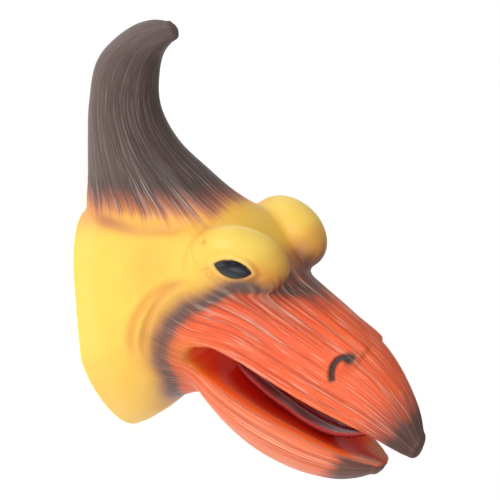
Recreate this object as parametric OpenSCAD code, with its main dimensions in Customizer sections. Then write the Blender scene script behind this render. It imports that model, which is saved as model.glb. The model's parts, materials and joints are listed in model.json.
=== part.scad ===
// Moving mouth puppet: the hollow soft-rubber head of a horned bird, worn on the hand.
// The hand enters at the neck opening, four fingers fill the upper beak and the
// thumb fills the lower beak. The rubber bends at the mouth corners to open the beak.
//
// The head is drawn in its own head frame: origin on the line through the mouth
// corners, forward along the beak (-Y), up (+Z), bird's left (+X). The module stand()
// then tips it back so that the flat neck rim lies on Z = 0 with its centre at the origin.
// A station is one cross-section of a loft:
// [forward, up, direction of its long axis, reach along it, reach against it, half width, power]
// and, for the neck, the share by which it narrows on the side its reach goes against.

/* [Skin] */
// Thickness of the moulded outer skin
wall = 3; // [2.5:0.5:3.5]
// Thickness of the mouth lining
lining = 2.5; // [2:0.5:3]

/* [Neck] */
// Length of the neck opening from throat to nape, outside
rim_length = 109; // [104:1:114]
// Width of the neck opening, outside
rim_width = 72; // [68:1:76]
// Angle between the neck rim's plane and the head's level line
neck_tilt = 50; // [48:1:52]

/* [Beak] */
// Length of the upper beak from the mouth corner to its tip
beak_length = 111; // [107:1:115]
// Width of the beak at the mouth corners
beak_width = 66; // [62:1:70]
// Height scale of the upper beak in percent
upper_height = 100; // [95:1:105]
// Depth scale of the lower beak in percent
lower_depth = 100; // [95:1:105]

/* [Brow and eyes] */
// Sideways distance from the middle to the centre of a brow dome
brow_side = 27; // [26:0.5:28]
// Radius of a brow dome
brow_radius = 17; // [16:0.5:18]
// Length of the almond-shaped eye
eye_length = 20; // [18:1:21]
// Height of the almond-shaped eye
eye_height = 10; // [9:0.5:11]

/* [Horn] */
// Width scale of the horn in percent
horn_width = 100; // [90:1:105]

/* [Jaw] */
// How far the lower beak opens beyond its rest position, in degrees
jaw_open = 18; // [10:1:20]

/* [Hidden] */

ring_n = 32;             // points round each cross-section
least = 0.4;             // smallest reach of a cross-section
seam = 0.15;             // half of the gap kept between neighbouring pieces
far = 170;               // longer than the head in any direction
rim_back = 56;           // neck opening's centre behind the mouth corners
rim_drop = 26;           // and below them
fold_radius = 9;         // size of the soft corner around the bending line
jaw_rear = -75;          // direction of the lower beak's rear edge, seen from the side
jaw_top = -2;            // and of its upper limit
web_slack = 8;           // throat web beyond the opening angle
web_rear = jaw_rear - jaw_open - web_slack;
side_cos = cos(neck_tilt);
side_sin = sin(neck_tilt);
hinge_y = rim_drop * side_sin - rim_back * side_cos;
hinge_z = rim_back * side_sin + rim_drop * side_cos;

brow_forward = -2.6;     // place of the brow domes
brow_up = 53;
brow_stretch = 1.15;     // how much longer than wide a brow dome is
eye_forward = 1.5;       // place of the almond eyes
eye_up = 53;
eye_depth = 7;           // thickness of an eye
eye_inset = 1.5;         // depth of its centre under the top of the dome
eye_tip_up = 8;          // tilt of its front corner
eye_turn = 12;           // turn toward the front
lens_out = 1.4;          // lens stands out beyond the eye's centre
lens_margin = 3;         // black left at each corner of the eye
lens_rim = 1.4;          // black left above and below the lens
lens_thinner = 0.6;      // lens thinner than the eye
fit = 0.05;              // clearance between a lens and its eye

along = beak_length / 111;  // scales of the beak against its drawn size
across = beak_width / 66;
tall = upper_height / 100;
deep = lower_depth / 100;
into_gap = 4.5;          // the beaks' lofts run this far into the mouth gap, which trims them
edge_lift = 1.3;         // and start this far beyond their cutting edges

// Neck and head, from below the rim to the root of the beak.
rim_half = rim_length / 2;
rim_side = rim_width / 2;
under_rim = 8;           // the lofts start this far below the rim, which trims them
rim_trim = 0.5;          // the rim's own cross-section lies this far below the rim
narrowing = 0.3;         // share by which the rim narrows toward the nape
neck_stations = [
    [-rim_back - under_rim * side_sin, -rim_drop - under_rim * side_cos, -neck_tilt,
     rim_half, rim_half, rim_side, 2.3, narrowing],
    [-rim_back - rim_trim * side_sin, -rim_drop - rim_trim * side_cos, -neck_tilt,
     rim_half, rim_half, rim_side, 2.3, narrowing],
    [-42, -11, -55, 52, 51, 40.3, 2.3, narrowing / 2],
    [-27, 4, -64, 48, 48.3, 40.8, 2.3, 0],
    [-12, 10, -78, 46, 44, 39.3, 2.2, 0],
    [3, 12, -90, 42, 38, 34, 2.1, 0],
    [14, 14, -90, 36, 35, 31, 2.1, 0]];

// Crown of the head, which carries the brow domes.
crown_at = [0, -14, 37];
crown_radii = [39, 31.2, 25];

// Upper beak: [forward, cutting edge, culmen, half width] at each station.
upper_shape = [[-6, 3, 46, 33], [12, 8, 49, 32], [34, 6.5, 47, 28], [58, 4.5, 43, 22.5],
               [78, 4.2, 35.5, 17], [94, 3.5, 24, 11], [104, 2, 14.5, 6.5], [110, 0.6, 6.5, 3]];
upper_stations = [for (s = upper_shape)
    [s[0] * along, s[1] + edge_lift, 90, (s[2] - s[1]) * tall - edge_lift, into_gap, s[3] * across, 2.1]];

// Lower beak: [forward, keel, rim, half width] at each station.
lower_shape = [[-2, -22, -4, 31], [14, -31, -8, 30.5], [30, -37, -10, 28.5], [50, -39, -10.3, 25.5],
               [70, -35, -10.3, 20.5], [86, -27.5, -9.8, 14], [93, -21.5, -9.4, 9], [98, -16, -9, 4.5]];
lower_stations = [for (s = lower_shape)
    [s[0] * along, s[2] - edge_lift, -90, (s[2] - s[1]) * deep - edge_lift, into_gap, s[3] * across, 2.1]];

// Horn: [rear point, front point, half width] at each station, root first.
horn_shape = [[[-84, 8], [-2, 44], 27], [[-91.5, 22], [-11, 58], 24], [[-97, 36], [-40, 66], 20],
              [[-104, 52], [-62, 71], 17], [[-111, 70], [-78, 81], 15], [[-115, 90], [-85, 95], 12.5],
              [[-111, 108], [-86, 109], 9.5], [[-103, 119], [-83, 117], 6.5],
              [[-93, 124.5], [-81, 121.5], 3.5], [[-85, 126], [-81, 124.5], 1.5]];
horn_stations = [for (s = horn_shape) let (d = s[1] - s[0], m = (s[0] + s[1]) / 2)
    [m[0], m[1], atan2(d[1], d[0]), norm(d) / 2, norm(d) / 2, s[2] * horn_width / 100, 2.2]];

// Mouth hollow: roof vault in the upper beak and channel in the lower beak.
lip = 4;                 // rubber left at the side of the hollow
over = 3;                // the hollows run this far into the gap
vault_shape = [[-2, 8, 5], [12, 14, 12], [34, 13, 12], [58, 11, 11], [78, 10, 9], [92, 8, 5]];
vault_stations = [for (i = [0:len(vault_shape) - 1]) let (s = vault_shape[i], u = upper_shape[i])
    [s[0] * along, u[1] - over, 90, s[1], 2, (u[3] - lip) * across - (i == 0 ? 5 : 0), 2.2]];
channel_shape = [[0, 3], [14, 5.5], [30, 7.5], [50, 8], [70, 7.5], [86, 6], [93, 3]];
channel_stations = [for (i = [0:len(channel_shape) - 1]) let (s = channel_shape[i], l = lower_shape[i])
    [s[0] * along, l[2] + over, -90, s[1] + over, 2, (l[3] - lip) * across - (i == 0 ? 4 : 0), 2.2]];

// Tongue: [forward, centre height, half thickness, half width] at each station.
tongue_shape = [[14, -11.5, 2.4, 11], [28, -14.2, 3, 13.5], [48, -15.2, 3.2, 13.5], [66, -14.8, 3, 11],
                [78, -13.6, 2.6, 7.5], [84, -13, 1.4, 3.5]];
tongue_stations = [for (s = tongue_shape) [s[0] * along, s[1], 90, s[2], s[2], s[3] * across, 2.2]];

// One ring of points across a loft; grow moves it outward (or inward if negative).
function ring(s, grow) = let (e = 2 / s[6], narrows = len(s) > 7 ? s[7] : 0)
    [for (i = [0:ring_n - 1])
        let (c = cos(360 * (i + 0.5) / ring_n), k = sin(360 * (i + 0.5) / ring_n),
             reach = max((c > 0 ? s[3] : s[4]) + grow, least),
             p = sign(c) * pow(abs(c), e) * reach,
             side = max(s[5] + grow, least) * (1 - narrows * max(-p / reach, 0)),
             q = sign(k) * pow(abs(k), e) * side)
        [q, -(s[0] + p * cos(s[2])), s[1] + p * sin(s[2])]];

// Closed solid through a row of stations.
module loft(stations, grow = 0) {
    last = len(stations) - 1;
    way = [stations[last][0] - stations[0][0], stations[last][1] - stations[0][1]];
    ahead = way[1] * cos(stations[0][2]) - way[0] * sin(stations[0][2]) > 0;
    start = [for (i = [0:ring_n - 1]) i];
    finish = [for (i = [ring_n - 1:-1:0]) last * ring_n + i];
    sides = [for (j = [0:last - 1]) for (i = [0:ring_n - 1])
        let (a = j * ring_n + i, b = j * ring_n + (i + 1) % ring_n)
        each [[a, a + ring_n, b + ring_n], [a, b + ring_n, b]]];
    flat = concat([start, finish], sides);
    turned = [for (f = flat) [for (i = [len(f) - 1:-1:0]) f[i]]];
    polyhedron([for (s = stations) each ring(s, grow)], ahead ? flat : turned, convexity = 8);
}

// The same row without its last few stations, for a hollow that stops short of the tip.
function without_last(stations, n) = [for (i = [0:len(stations) - 1 - n]) stations[i]];

// Side outline, drawn as [forward, up], pushed through the whole width of the head.
module across_head() {
    rotate([90, 0, -90]) linear_extrude(far, center = true) children();
}

// Fan between two directions seen from the mouth corner, from the fold outward.
module fan(from, to, inner) {
    difference() {
        polygon([[0, 0], far * [cos(from), sin(from)],
                 far * 1.2 * [cos((from + to) / 2), sin((from + to) / 2)], far * [cos(to), sin(to)]]);
        circle(r = inner, $fn = 48);
    }
}

// Ball stretched to three radii.
module egg(at, radii) {
    translate([at[0], -at[1], at[2]]) scale(radii) sphere(r = 1, $fn = 28);
}

module brow_domes(grow) {
    for (side = [-1, 1])
        egg([side * brow_side, brow_forward, brow_up],
            brow_radius * [1, brow_stretch, 1] + grow * [1, 1, 1]);
}

// Everything outside, or with grow negative everything inside, in one solid.
module head_form(grow) {
    end = grow < 0 ? 1 : 0;
    loft(neck_stations, grow);
    brow_domes(grow);
    egg(crown_at, crown_radii + grow * [1, 1, 1]);
    loft(without_last(horn_stations, 3 * end), grow);
    loft(without_last(upper_stations, 2 * end), grow);
    loft(without_last(lower_stations, 2 * end), grow);
}

// Hollow of the mouth; grow thickens it into its lining.
module mouth_form(grow) {
    loft(vault_stations, grow);
    loft(channel_stations, grow);
    across_head() offset(r = grow) mouth_gap();
}

// Open gap between the beaks, seen from the side, with a round corner.
module mouth_gap() {
    offset(r = 3, $fn = 32) offset(delta = -3)
        polygon([[-3, -4], [3.5, -6.5], [28, -9.8], [61, -10.3], [87, -9.8], [103, -8], [130, -10],
                 [130, -2], [112, 0.2], [105, 1.6], [89, 4], [75, 4.2], [54, 4.8], [32, 6.6], [14, 8], [2, 7],
                 [-3, 3]]);
}

// Outer skin of the whole head, with the neck and the mouth open.
module skin() {
    difference() {
        head_form(0);
        head_form(-wall);
        mouth_form(0);
        below_rim();
    }
}

// Lining around the mouth, inside the skin.
module mouth_lining() {
    intersection() {
        head_form(-wall - seam);
        difference() {
            mouth_form(lining);
            mouth_form(0);
        }
    }
}

// Half space under the neck rim.
module below_rim() {
    translate([0, rim_back, -rim_drop]) rotate([neck_tilt, 0, 0])
        translate([0, 0, -far]) cube(2 * far, center = true);
}

// Side outlines of the pieces.
module horn_zone() {
    polygon([[-130, 7], [-92, 22.4], [-44, 49.3], [-26, 59], [-23, 67], [-45, far], [-130, far]]);
}
module beak_zone() {
    polygon([[27, 80], [27, 53], [22, 49], [4, 38], [-10, 23], [-14.5, 12], [-15, 0], [-12, -10],
             [-6, -18], [0, -60], [140, -60], [140, 80]]);
}
module jaw_zone() {
    fan(jaw_rear, jaw_top, fold_radius);
}
module web_zone() {
    fan(web_rear, jaw_rear, fold_radius);
}
module fold_zone() {
    circle(r = fold_radius, $fn = 48);
}

// Lies the head on its neck rim.
module stand() {
    translate([0, hinge_y, hinge_z]) rotate([-neck_tilt, 0, 0]) children();
}

// One closed mesh from the shapes within.
module moulded() {
    resize([0, 0, 0]) stand() children();
}

// Almond eyeball on the outer side of a brow dome, seen from its own centre.
module eye_place(side) {
    translate([side * (brow_side + brow_radius - eye_inset), -eye_forward, eye_up])
        rotate([0, 0, side * -eye_turn]) rotate([-eye_tip_up, 0, 0]) children();
}
module eyeball(side, grow) {
    eye_place(side) scale([eye_depth / 2 + grow, eye_length / 2 + grow, eye_height / 2 + grow])
        sphere(r = 1, $fn = 24);
}
module lens_ball(side) {
    eye_place(side) translate([side * lens_out, 0, 0])
        scale([eye_depth / 2 - lens_thinner, eye_length / 2 - lens_margin, eye_height / 2 - lens_rim])
        sphere(r = 1, $fn = 24);
}

// Yellow face, neck and brow domes.
module face_skin() {
    color("gold") moulded() difference() {
        skin();
        across_head() offset(delta = seam) {
            horn_zone();
            beak_zone();
            jaw_zone();
            web_zone();
            fold_zone();
        }
        for (side = [-1, 1]) eyeball(side, seam);
    }
}

// Hollow curved horn on top of the head.
module casque_horn() {
    color("dimgray") moulded() intersection() {
        skin();
        across_head() horn_zone();
    }
}

// Hollow upper beak, which the fingers fill.
module upper_beak() {
    color("coral") moulded() difference() {
        intersection() {
            skin();
            across_head() beak_zone();
        }
        across_head() offset(delta = 2 * seam) {
            horn_zone();
            jaw_zone();
            web_zone();
            fold_zone();
        }
        for (side = [-1, 1]) eyeball(side, seam);
    }
}

// Hollow lower beak, which the thumb fills.
module lower_beak() {
    color("coral") moulded() intersection() {
        skin();
        across_head() offset(delta = -2 * seam) jaw_zone();
    }
}

// Thin skin of the throat that folds as the lower beak opens.
module throat_web() {
    color("khaki") moulded() intersection() {
        skin();
        across_head() web_zone();
    }
}

// Soft corner of the mouth on one side.
module gusset(side) {
    color("orange") moulded() intersection() {
        skin();
        across_head() offset(delta = -seam) fold_zone();
        translate([side * far / 2, 0, 0]) cube(far, center = true);
    }
}
module gusset_right() {
    gusset(-1);
}
module gusset_left() {
    gusset(1);
}

// Roof of the mouth.
module palate() {
    color("firebrick") moulded() difference() {
        mouth_lining();
        across_head() offset(delta = 2 * seam) {
            jaw_zone();
            web_zone();
            fold_zone();
        }
    }
}

// Floor of the mouth: the channel that holds the tongue.
module mouth_floor() {
    color("red") moulded() intersection() {
        mouth_lining();
        across_head() offset(delta = -2 * seam) jaw_zone();
    }
}

// Back of the mouth, where roof and floor meet and the lining bends.
module mouth_fold() {
    color("red") moulded() intersection() {
        mouth_lining();
        across_head() offset(delta = -seam) union() {
            fold_zone();
            fan(web_rear, jaw_rear, 0);
        }
    }
}

// Tongue, bonded into the floor.
module tongue() {
    color("darkred") moulded() loft(tongue_stations);
}

// Black eyes set into the brow domes, and the grey lens on each.
module eye_right() {
    color("black") moulded() eyeball(-1, 0);
}
module eye_left() {
    color("black") moulded() eyeball(1, 0);
}
module lens(side) {
    color("slategray") moulded() difference() {
        lens_ball(side);
        eyeball(side, fit);
    }
}
module lens_right() {
    lens(-1);
}
module lens_left() {
    lens(1);
}

face_skin();
casque_horn();
upper_beak();
lower_beak();
throat_web();
gusset_right();
gusset_left();
palate();
mouth_floor();
mouth_fold();
tongue();
eye_right();
eye_left();
lens_right();
lens_left();
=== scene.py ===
"""Moving mouth puppet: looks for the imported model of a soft-rubber horned bird head."""

import json
import math

import bpy
import numpy as np
import openvdb
from mathutils import Matrix, Vector

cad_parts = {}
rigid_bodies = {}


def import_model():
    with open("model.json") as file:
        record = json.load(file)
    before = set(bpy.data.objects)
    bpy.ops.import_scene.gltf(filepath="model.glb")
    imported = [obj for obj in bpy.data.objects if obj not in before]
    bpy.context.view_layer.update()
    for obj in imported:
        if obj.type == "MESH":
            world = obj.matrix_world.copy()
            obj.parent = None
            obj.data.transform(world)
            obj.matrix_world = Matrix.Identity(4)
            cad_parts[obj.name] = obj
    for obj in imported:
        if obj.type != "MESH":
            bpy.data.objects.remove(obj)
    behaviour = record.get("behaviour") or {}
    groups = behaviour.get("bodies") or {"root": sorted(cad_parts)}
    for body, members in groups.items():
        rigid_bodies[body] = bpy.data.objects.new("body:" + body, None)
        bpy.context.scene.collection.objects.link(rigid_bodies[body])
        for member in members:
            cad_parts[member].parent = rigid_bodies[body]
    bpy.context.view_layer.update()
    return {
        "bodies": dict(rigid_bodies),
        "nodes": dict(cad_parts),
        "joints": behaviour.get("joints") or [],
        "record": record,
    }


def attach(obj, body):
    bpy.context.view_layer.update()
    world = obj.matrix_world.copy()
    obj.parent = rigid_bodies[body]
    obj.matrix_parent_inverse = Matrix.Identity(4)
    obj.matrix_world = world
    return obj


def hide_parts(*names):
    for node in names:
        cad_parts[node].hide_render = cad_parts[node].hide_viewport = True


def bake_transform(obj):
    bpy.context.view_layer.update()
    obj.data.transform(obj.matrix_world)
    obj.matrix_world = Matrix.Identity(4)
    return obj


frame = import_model()
scene = bpy.context.scene
scene.view_settings.view_transform = "Standard"
loaded = {o.name for group in ("nodes", "bodies") for o in frame[group].values()}
for o in [o for o in scene.objects if o.name not in loaded]:
    bpy.data.objects.remove(o)

# ---------------------------------------------------------------- head frame
# Shapes are drawn in the head's own frame, in mm: x to the bird's left, F forward
# along the beak, U up, origin on the line through the mouth corners.
HINGE = np.array(frame["joints"][0]["pos_m"]) * 1000
NECK_TILT = math.radians(50)
COS, SIN = math.cos(NECK_TILT), math.sin(NECK_TILT)


def to_row(p):
    """Head frame in mm to row frame in metres."""
    x, f, u = np.moveaxis(np.asarray(p, float), -1, 0)
    return np.stack([x, HINGE[1] - f * COS + u * SIN, HINGE[2] + f * SIN + u * COS], -1) / 1000


def turn_to_row(v):
    """A direction (x, y = -F, z = U) in the head frame, in the row frame."""
    x, y, z = v
    return Vector((x, y * COS + z * SIN, -y * SIN + z * COS))


# ---------------------------------------------------------------- camera
RIGHT = turn_to_row((0.45, -0.809, 0.374)).normalized()
TOWARD = turn_to_row((-0.854, -0.268, 0.444)).normalized()
UP = TOWARD.cross(RIGHT).normalized()
RIGHT = UP.cross(TOWARD).normalized()
AIM = Vector(HINGE / 1000) + RIGHT * 0.01104 + UP * 0.0408
CAMERA_DISTANCE = 0.9

camera = bpy.data.objects.new("camera", bpy.data.cameras.new("camera"))
scene.collection.objects.link(camera)
camera.data.sensor_width = 36
camera.data.lens = 135
camera.matrix_world = Matrix.Translation(AIM + TOWARD * CAMERA_DISTANCE) @ Matrix(
    (RIGHT, UP, TOWARD)).transposed().to_4x4()
scene.camera = camera

# ---------------------------------------------------------------- small maths
def ss(low, high, v):
    """Smooth step from 0 at low to 1 at high."""
    t = np.clip((np.asarray(v, float) - low) / (high - low), 0, 1)
    return t * t * (3 - 2 * t)


def bell(v, width):
    """Smooth bump of height 1 at 0."""
    return np.exp(-np.square(np.asarray(v, float) / width))


def smin(a, b, k):
    """The lower of two fields, blended over a width of k."""
    h = np.maximum(k - np.abs(a - b), 0)
    return np.minimum(a, b) - h * h / (4 * k)


def smax(a, b, k):
    return -smin(-a, -b, k)


_tables = {}


def noise(u, v, seed, octaves=1):
    """Smooth value noise from -1 to 1 on two coordinates."""
    if seed not in _tables:
        _tables[seed] = np.random.RandomState(seed).rand(257, 257) * 2 - 1
    table, total, weight, size = _tables[seed], 0, 1.0, 0
    for _ in range(octaves):
        iu, iv = np.floor(u), np.floor(v)
        fu, fv = u - iu, v - iv
        fu, fv = fu * fu * (3 - 2 * fu), fv * fv * (3 - 2 * fv)
        a, b = iu.astype(int) % 256, iv.astype(int) % 256
        low = table[a, b] * (1 - fu) + table[a + 1, b] * fu
        high = table[a, b + 1] * (1 - fu) + table[a + 1, b + 1] * fu
        total = total + (low * (1 - fv) + high * fv) * weight
        size += weight
        weight *= 0.5
        u, v = u * 2.03 + 17.3, v * 2.03 + 5.1
    return total / size


def path_distance(f, u, path):
    """Distance to a bent line in the side plane, and how far along it the nearest point is (0 to 1)."""
    path = np.array(path, float)
    lengths = np.linalg.norm(np.diff(path, axis=0), axis=1)
    starts = np.concatenate([[0], np.cumsum(lengths)])
    best, where = np.full(np.shape(f), 1e9), np.zeros(np.shape(f))
    for k in range(len(path) - 1):
        (ax, ay), (bx, by) = path[k], path[k + 1]
        t = np.clip(((f - ax) * (bx - ax) + (u - ay) * (by - ay)) / lengths[k] ** 2, 0, 1)
        d = np.hypot(f - ax - t * (bx - ax), u - ay - t * (by - ay))
        near = d < best
        best = np.where(near, d, best)
        where = np.where(near, (starts[k] + t * lengths[k]) / starts[-1], where)
    return best, where


def smooth_path(path, n=24):
    """The same path as one smooth curve."""
    rows, _ = resample(path, n)
    return rows


def inside(f, u, polygon):
    """True inside a polygon in the side plane."""
    found = np.zeros(np.shape(f), bool)
    for (ax, ay), (bx, by) in zip(polygon, polygon[1:] + polygon[:1]):
        if ay != by:
            crosses = ((ay > u) != (by > u)) & (f < (bx - ax) * (u - ay) / (by - ay) + ax)
            found ^= crosses
    return found


def signed(f, u, polygon):
    """Signed distance to a polygon, negative inside."""
    d, _ = path_distance(f, u, polygon + polygon[:1])
    return np.where(inside(f, u, polygon), -d, d)


def resample(rows, n):
    """Smooth curve through rows of numbers, and the length along it, measured on the first two columns."""
    rows = np.array(rows, float)
    gaps = np.maximum(np.linalg.norm(np.diff(rows[:, :2], axis=0), axis=1), 1e-3)
    knots = np.concatenate([[0], np.cumsum(gaps)])
    slopes = np.gradient(rows, knots, axis=0)
    u = np.linspace(0, knots[-1], n)
    k = np.clip(np.searchsorted(knots, u, side="right") - 1, 0, len(knots) - 2)
    h = (knots[k + 1] - knots[k])[:, None]
    t = (u - knots[k])[:, None] / h
    made = (rows[k] * (2 * t**3 - 3 * t**2 + 1) + slopes[k] * h * (t**3 - 2 * t**2 + t)
            + rows[k + 1] * (3 * t**2 - 2 * t**3) + slopes[k + 1] * h * (t**3 - t**2))
    return made, u


# ---------------------------------------------------------------- shapes of the head
# Station: [forward, up, direction of its long axis, reach along, reach against, half width, power]
RIM_BACK, RIM_DROP = 56, 26
NECK = [[-RIM_BACK - 10 * SIN, -RIM_DROP - 10 * COS, -50, 54.5, 54.5, 36, 2.3],
        [-RIM_BACK, -RIM_DROP, -50, 54.5, 54.5, 36, 2.3],
        [-42, -11, -55, 52, 51, 40, 2.3],
        [-27, 4, -64, 48, 48, 41, 2.3],
        [-12, 10, -78, 46, 44, 39, 2.2],
        [3, 12, -90, 42, 38, 34, 2.1],
        [14, 14, -90, 36, 35, 31, 2.1]]
# Width of the neck rim as a share, from nape to throat: widest in front of its middle.
RIM_AT, RIM_SHARE = (-1, -0.8, -0.3, 0, 0.2, 0.4, 0.65, 1), (0.74, 0.76, 0.85, 0.97, 1.06, 1.04, 0.97, 0.85)
# Upper beak: [forward, cutting edge, culmen, half width]
UPPER = [[-6, 3, 46, 33], [12, 8, 49, 32], [34, 6.5, 47, 28], [58, 4.5, 43.3, 22.5],
         [78, 4, 37, 17], [92, 2.8, 28, 12], [101, 1.6, 20, 8], [105.6, 1.2, 14, 5.4]]
# Lower beak: [forward, keel, rim, half width]
LOWER = [[-2, -22, -4, 31], [14, -31, -8, 30.5], [30, -37, -10, 28.5], [50, -39, -10.3, 25.5],
         [70, -35, -10.3, 20.5], [85, -27.5, -9.8, 14.2], [90.5, -22.6, -9.4, 10.6], [94, -18.4, -9.2, 7.6]]
# Horn: [rear point, front point, half width]
HORN = [[(-84, 8), (-2, 44), 27], [(-91.5, 22), (-11, 58), 24], [(-97, 36), (-40, 66), 20],
        [(-104, 52), (-62, 71), 17], [(-111, 70), (-78, 81), 15], [(-115, 90), (-85, 95), 12.5],
        [(-110, 104.5), (-87, 106.5), 9.8], [(-104, 113.8), (-85.6, 112), 7.6],
        [(-97, 119.8), (-84, 115.6), 5.6], [(-91, 122.4), (-82.8, 117.4), 4]]
VAULT = [[-2, 2, 5], [12, 5, 12], [34, 10, 12], [58, 11, 11], [78, 9, 9], [92, 5, 5]]
CHANNEL = [[0, 1], [14, 2.6], [30, 3.8], [50, 4.4], [70, 3.8], [86, 2.4], [93, 1.5]]
INTO_GAP, EDGE_LIFT, LIP = 4.5, 1.3, 4
upper_rows = [[f, e + EDGE_LIFT, 90, c - e - EDGE_LIFT, INTO_GAP, w, 2.1] for f, e, c, w in UPPER]
lower_rows = [[f, r - EDGE_LIFT, -90, r - k - EDGE_LIFT, INTO_GAP, w, 2.1] for f, k, r, w in LOWER]
horn_rows = []
for rear, front, width in HORN:
    rear, front = np.array(rear, float), np.array(front, float)
    d = front - rear
    horn_rows.append([*(rear + front) / 2, math.degrees(math.atan2(d[1], d[0])),
                      np.hypot(*d) / 2, np.hypot(*d) / 2, width, 2.2])
vault_rows = [[s[0], u[1] - 3, 90, s[1], 2, u[3] - LIP - (10 if i == 0 else 0), 2.2]
              for i, (s, u) in enumerate(zip(VAULT, UPPER))]
channel_rows = [[s[0], l[2] + 3, -90, s[1] + 3, 2, l[3] - LIP - (4 if i == 0 else 0), 1.8]
                for i, (s, l) in enumerate(zip(CHANNEL, LOWER))]
# Mouth gap seen from the side: [forward, lower edge, upper edge]
GAP = [[0, -5, 5], [4, -7, 7.4], [14, -8.3, 8], [30, -9.9, 6.8], [54, -10.3, 4.8], [75, -10.1, 4.2],
       [89, -9.7, 3.4], [96, -9, 2.2], [103, -8.8, 1], [112, -9.4, 0], [135, -12, -3]]
DOME_CENTRE = np.array([25.6, -1.3, 51.9])
DOME_AXIS = np.array([-0.45, 0.88, 0.06])
DOME_RADII = (23.2, 15.6, 15)
CROWN_AT, CROWN_RADII = (0, -14, 37), (39, 31, 25)

# ---------------------------------------------------------------- grid
# The grid holds one half of the head, from the middle plane outward, in mm.
STEP = 0.82
xs = np.arange(0, 52, STEP).astype(np.float32)
fs = np.arange(-122, 116, STEP).astype(np.float32)
us = np.arange(-82, 132, STEP).astype(np.float32)
FF, UU = np.meshgrid(fs, us, indexing="ij")
X3 = xs[:, None, None]


def side_map(rows, cap, n=110):
    """For each point of the side plane: which section of a loft it belongs to, and where in it."""
    made, arc = resample(rows, n)
    a = np.radians(made[:, 2])
    d = np.stack([np.cos(a), np.sin(a)], 1)
    step = np.diff(made[:, :2], axis=0)
    sign = np.sign(np.sum(d[:-1, 0] * step[:, 1] - d[:-1, 1] * step[:, 0]))

    def at(k):
        df, du = FF - made[k, 0], UU - made[k, 1]
        return sign * (d[k, 0] * du - d[k, 1] * df), d[k, 0] * df + d[k, 1] * du

    out = {k: np.zeros_like(FF) for k in ("s", "t", "e", "h", "w", "n")}
    best = np.full_like(FF, 1e9)

    def keep(mask, t, e, k, share):
        row = made[k] * (1 - share[..., None]) + made[min(k + 1, n - 1)] * share[..., None]
        h = np.where(t > 0, row[..., 3], row[..., 4])
        rho = np.abs(t) / h + e / cap
        take = mask & (rho < best)
        best[take] = rho[take]
        arc_at = arc[k] * (1 - share) + arc[min(k + 1, n - 1)] * share
        found = {"s": arc_at, "t": t, "e": e, "h": h, "w": row[..., 5], "n": row[..., 6]}
        for name, value in found.items():
            out[name][take] = value[take]

    zero = np.zeros_like(FF)
    g0, t0 = at(0)
    keep(g0 < 0, t0, -g0, 0, zero)
    for k in range(n - 1):
        g1, t1 = at(k + 1)
        hit = (g0 >= 0) & (g1 < 0)
        share = np.where(hit, g0 / np.where(hit, g0 - g1, 1), 0)
        if hit.any():
            keep(hit, t0 * (1 - share) + t1 * share, zero, k, share)
        g0, t0 = g1, t1
    keep(g0 >= 0, t0, g0, n - 1, zero)
    return out


def loft_field(m, cap):
    """Distance to the surface of a loft, negative inside."""
    flat = (np.abs(m["t"]) / m["h"]) ** m["n"] + (m["e"] / cap) ** m["n"]
    n = m["n"].astype(np.float32)
    r = (flat.astype(np.float32) + (X3 / m["w"].astype(np.float32)) ** n) ** (1 / n) + 1e-4
    length = np.sqrt((m["t"] ** 2 + m["e"] ** 2).astype(np.float32) + X3 * X3)
    return length * (1 - 1 / r)


def egg_field(centre, radii, axis=None):
    """Distance to an egg, whose first radius lies along its axis if it has one."""
    x, f, u = X3 - centre[0], FF - centre[1], UU - centre[2]
    if axis is not None:
        a = np.array(axis) / np.linalg.norm(axis)
        side = np.cross(a, (0, 0, 1))
        side /= np.linalg.norm(side)
        top = np.cross(side, a)
        x, f, u = (x * side[0] + f * side[1] + u * side[2], x * a[0] + f * a[1] + u * a[2],
                   x * top[0] + f * top[1] + u * top[2])
        radii = (radii[1], radii[0], radii[2])
    r = np.sqrt((x / radii[0]) ** 2 + (f / radii[1]) ** 2 + (u / radii[2]) ** 2) + 1e-4
    return (np.sqrt(x * x + f * f + u * u) * (1 - 1 / r)).astype(np.float32)


# How far the rounded ends of each loft reach past its last station.
HORN_CAP, BEAK_CAP, MOUTH_CAP = 2.4, 3.4, 4
NECK_MAP_CAP, NECK_CAP = 20, 14
# Width of the blend where each form runs into the ones before it.
CROWN_BLEND, HORN_BLEND, BEAK_BLEND, DOME_BLEND = 12, 7, 4, 3.5
VAULT_BLEND, CHANNEL_BLEND, LIP_ROUND = 2, 3, 3.2
neck_map = side_map(NECK, NECK_MAP_CAP)
rim_share = np.interp(neck_map["t"] / neck_map["h"], RIM_AT, RIM_SHARE)
neck_map["w"] *= 1 + np.interp(neck_map["s"], (10, 50), (1, 0)) * (rim_share - 1)
horn_map = side_map(horn_rows, HORN_CAP)
upper_map = side_map(upper_rows, BEAK_CAP)
lower_map = side_map(lower_rows, BEAK_CAP)
vault_map = side_map(vault_rows, MOUTH_CAP)
channel_map = side_map(channel_rows, MOUTH_CAP)

body = loft_field(neck_map, NECK_CAP)
body = smin(body, egg_field(CROWN_AT, CROWN_RADII), CROWN_BLEND)
body = smin(body, loft_field(horn_map, HORN_CAP), HORN_BLEND)
beaks = np.minimum(loft_field(upper_map, BEAK_CAP), loft_field(lower_map, BEAK_CAP))
body = smin(body, beaks, BEAK_BLEND)
body = smin(body, egg_field(DOME_CENTRE, DOME_RADII, DOME_AXIS), DOME_BLEND)
del beaks

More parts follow.
